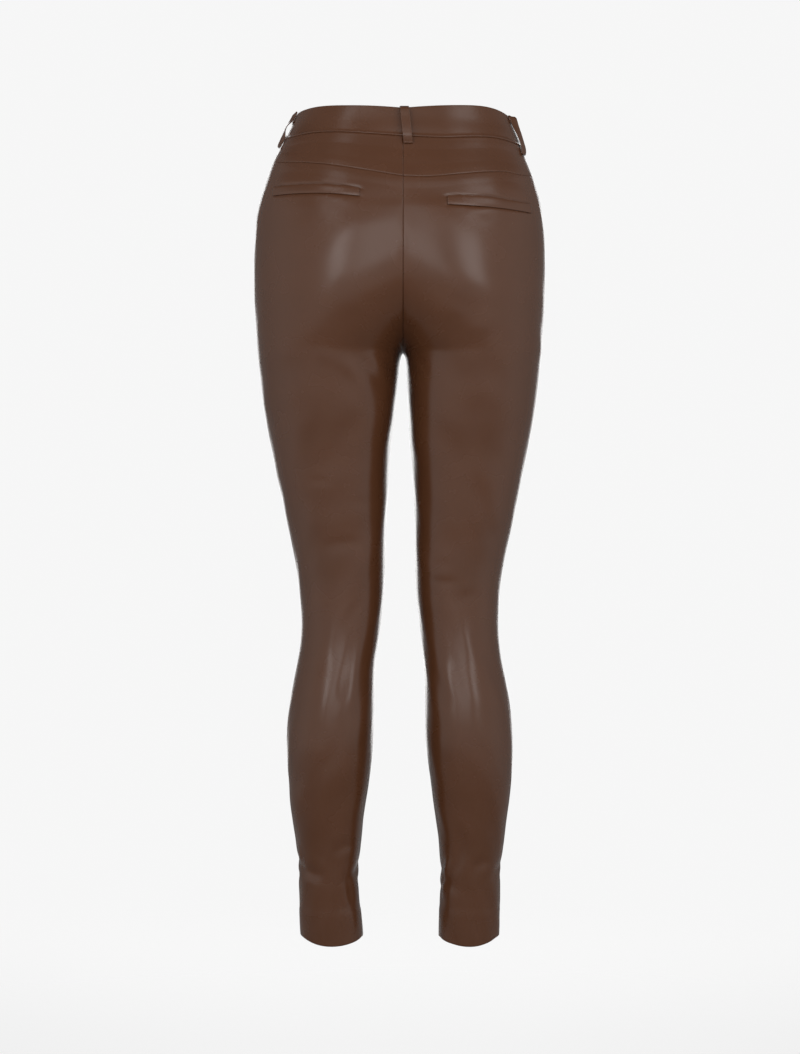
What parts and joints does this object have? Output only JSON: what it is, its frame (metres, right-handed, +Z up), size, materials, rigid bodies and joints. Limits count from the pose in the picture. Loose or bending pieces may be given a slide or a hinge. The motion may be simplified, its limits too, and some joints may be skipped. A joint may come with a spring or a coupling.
{
  "type": "faux leather trousers",
  "caption": "Filled-out, high-waisted slim trousers in brown faux leather, with a waistband, belt loops, a V-shaped back yoke, welt pockets and open hems.",
  "frame": {"origin": "the middle of the waist ring at the top edge of the waistband, where the wearer's waist holds the trousers", "axes": "+Z up the body, -Y to the wearer's front, +X to the wearer's left"},
  "size_m": [0.3383, 0.2339, 0.9683],
  "materials": {
    "faux_leather": "smooth dark brown faux leather with a very fine grain and a soft satin sheen",
    "button": "dark brown button in a soft gloss"
  },
  "bodies": {
    "root": {"back_panel_left": "faux_leather", "back_panel_right": "faux_leather", "front_panel_left": "faux_leather", "front_panel_right": "faux_leather", "back_yoke_left": "faux_leather", "back_yoke_right": "faux_leather", "waistband": "faux_leather", "pocket_welt_left": "faux_leather", "pocket_welt_right": "faux_leather", "belt_loop_back": "faux_leather", "belt_loop_left": "faux_leather", "belt_loop_right": "faux_leather", "belt_loop_front_left": "faux_leather", "belt_loop_front_right": "faux_leather", "waist_button": "button"}
  },
  "joints": []
}
